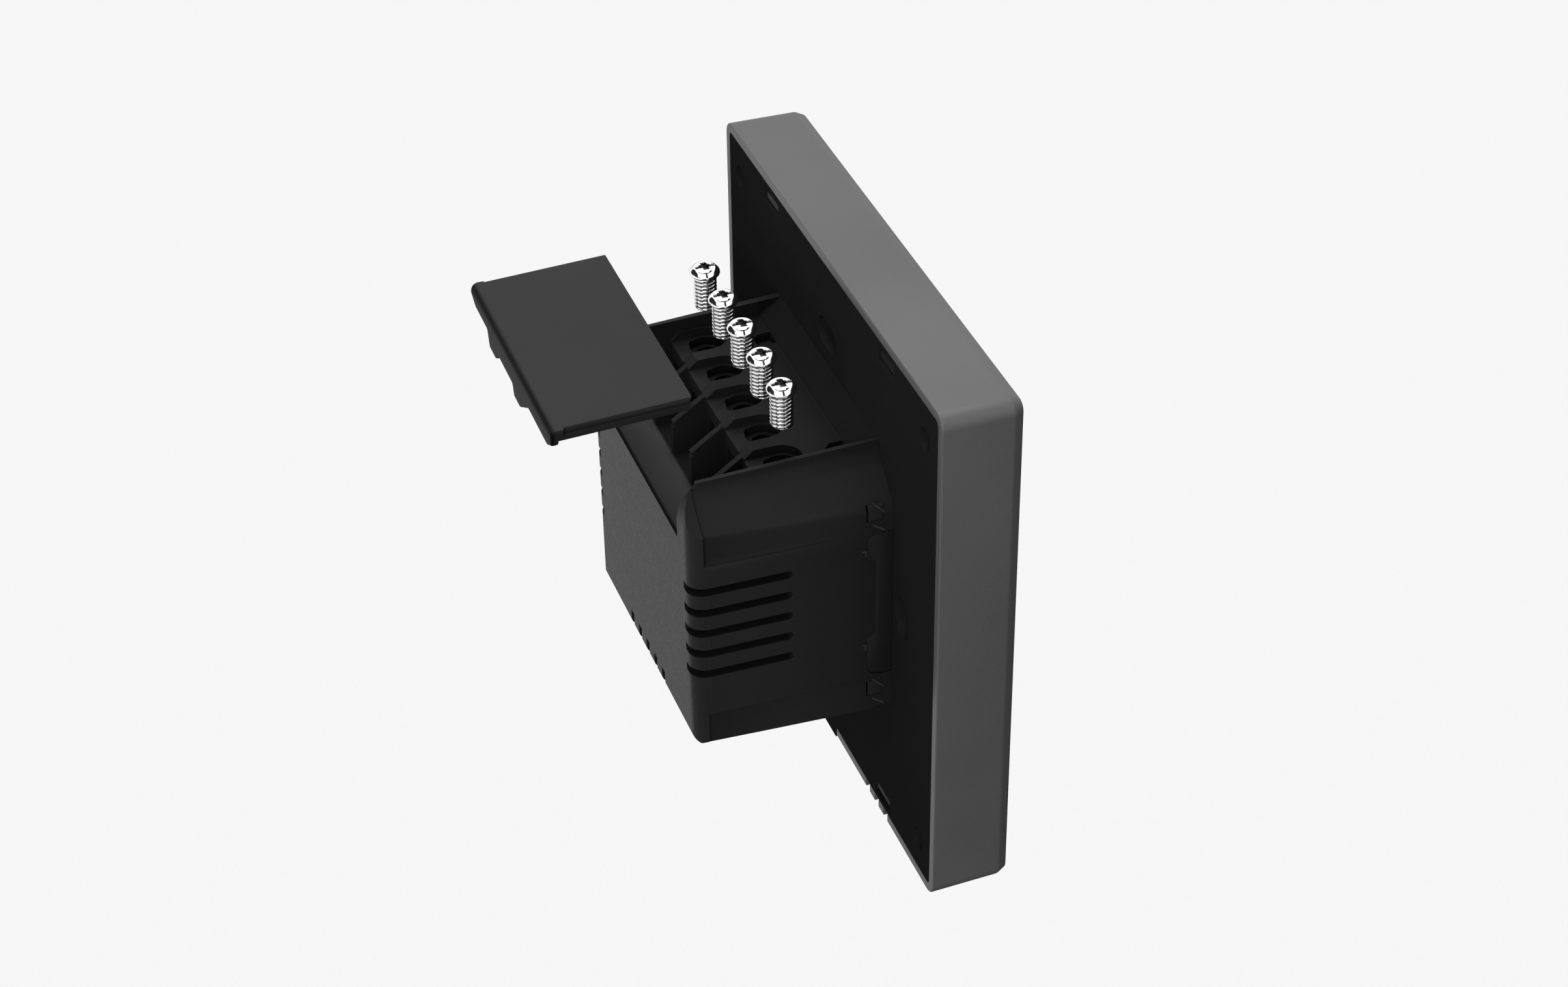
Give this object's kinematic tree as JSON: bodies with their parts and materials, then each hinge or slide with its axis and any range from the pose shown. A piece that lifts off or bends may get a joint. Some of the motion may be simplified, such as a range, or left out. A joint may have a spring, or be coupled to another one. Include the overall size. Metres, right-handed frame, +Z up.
{
  "type": "smart switch touch panel",
  "caption": "Square in-wall touch panel with glass display, push buttons and a vented rear box, with its terminal cover and terminal screws lifted off for wiring.",
  "frame": {"origin": "centre of the square panel in the wall plane, which is the rear rim of the front frame and the back face of the base plate", "axes": "+Z up; -Y out of the wall, the way the glass faces; +Y into the wall, along the rear box; +X to the right seen from the front"},
  "size_m": [0.086, 0.0592, 0.0865],
  "materials": {
    "frame_metal": "satin dark grey paint",
    "black_glass": "opaque black printed glass, polished",
    "gasket_foam": "matt",
    "display_metal": "satin",
    "inner_plastic": "matt",
    "board_green": "satin solder mask",
    "shield_metal": "satin",
    "black_plastic": "fine texture",
    "cover_plastic": "smooth satin",
    "button_gloss": "polished",
    "light_clear": "milky",
    "socket_plastic": "matt",
    "connector_cream": "satin",
    "flex_amber": "satin",
    "small_parts": "matt",
    "relay_case": "satin",
    "ferrite": "matt",
    "winding_tape": "satin",
    "can_sleeve": "satin",
    "disc_blue": "glossy",
    "resistor_green": "glossy",
    "sheet_insulation": "satin",
    "pin_gold": "plated",
    "clamp_brass": "nickel plated",
    "bar_copper": "tinned copper",
    "screw_steel": "zinc plated",
    "screw_chrome": "bright nickel"
  },
  "bodies": {
    "wall_unit": {"base_plate": "black_plastic", "rear_box": "black_plastic", "power_board": "board_green", "insulation_sheet": "sheet_insulation", "relay_1": "relay_case", "relay_2": "relay_case", "transformer_core": "ferrite", "transformer_winding": "winding_tape", "input_capacitor": "can_sleeve", "output_capacitor": "can_sleeve", "varistor": "disc_blue", "fuse_resistor": "resistor_green", "bridge_rectifier": "small_parts", "pin_header": "socket_plastic", "header_pins": "pin_gold", "wire_clamps": "clamp_brass", "contact_bars": "bar_copper"},
    "front_panel": {"bezel_frame": "frame_metal", "front_glass": "black_glass", "glass_gasket": "gasket_foam", "display_module": "display_metal", "front_carrier": "inner_plastic", "control_board": "board_green", "wireless_module": "shield_metal", "sound_buzzer": "small_parts", "temperature_sensor": "small_parts", "board_socket": "socket_plastic", "display_connector": "connector_cream", "display_flex": "flex_amber", "tact_switches": "shield_metal", "status_lights": "light_clear", "control_screws": "screw_steel"},
    "left_button": {"button_left": "button_gloss", "button_light_left": "light_clear"},
    "right_button": {"button_right": "button_gloss", "button_light_right": "light_clear"},
    "cover": {"terminal_cover": "cover_plastic"},
    "screw_1": {"terminal_screw_1": "screw_chrome"},
    "screw_2": {"terminal_screw_2": "screw_chrome"},
    "screw_3": {"terminal_screw_3": "screw_chrome"},
    "screw_4": {"terminal_screw_4": "screw_chrome"},
    "screw_5": {"terminal_screw_5": "screw_chrome"}
  },
  "joints": [
    {"name": "front_panel_pull", "type": "slide", "parent": "wall_unit", "child": "front_panel", "axis": [0, -1, 0], "range_m": [0, 0.025]},
    {"name": "left_button_press", "type": "slide", "parent": "front_panel", "child": "left_button", "axis": [0, 1, 0], "range_m": [0, 0.0004], "stiffness_N_per_m": 600},
    {"name": "right_button_press", "type": "slide", "parent": "front_panel", "child": "right_button", "axis": [0, 1, 0], "range_m": [0, 0.0004], "stiffness_N_per_m": 600},
    {"name": "cover_seat", "type": "slide", "parent": "wall_unit", "child": "cover", "axis": [0, 0.8117, 0.5841], "range_m": [-0.02328, 0]},
    {"name": "screw_1_drive", "type": "slide", "parent": "wall_unit", "child": "screw_1", "axis": [0, 0, 1], "range_m": [-0.01401, 0]},
    {"name": "screw_2_drive", "type": "slide", "parent": "wall_unit", "child": "screw_2", "axis": [0, 0, 1], "range_m": [-0.01401, 0]},
    {"name": "screw_3_drive", "type": "slide", "parent": "wall_unit", "child": "screw_3", "axis": [0, 0, 1], "range_m": [-0.01401, 0]},
    {"name": "screw_4_drive", "type": "slide", "parent": "wall_unit", "child": "screw_4", "axis": [0, 0, 1], "range_m": [-0.01401, 0]},
    {"name": "screw_5_drive", "type": "slide", "parent": "wall_unit", "child": "screw_5", "axis": [0, 0, 1], "range_m": [-0.01401, 0]}
  ],
  "couplings": [
    {"joint": "screw_1_drive", "follows": "cover_seat", "ratio": 0.60126},
    {"joint": "screw_2_drive", "follows": "cover_seat", "ratio": 0.60126},
    {"joint": "screw_3_drive", "follows": "cover_seat", "ratio": 0.60126},
    {"joint": "screw_4_drive", "follows": "cover_seat", "ratio": 0.60126},
    {"joint": "screw_5_drive", "follows": "cover_seat", "ratio": 0.60126}
  ]
}
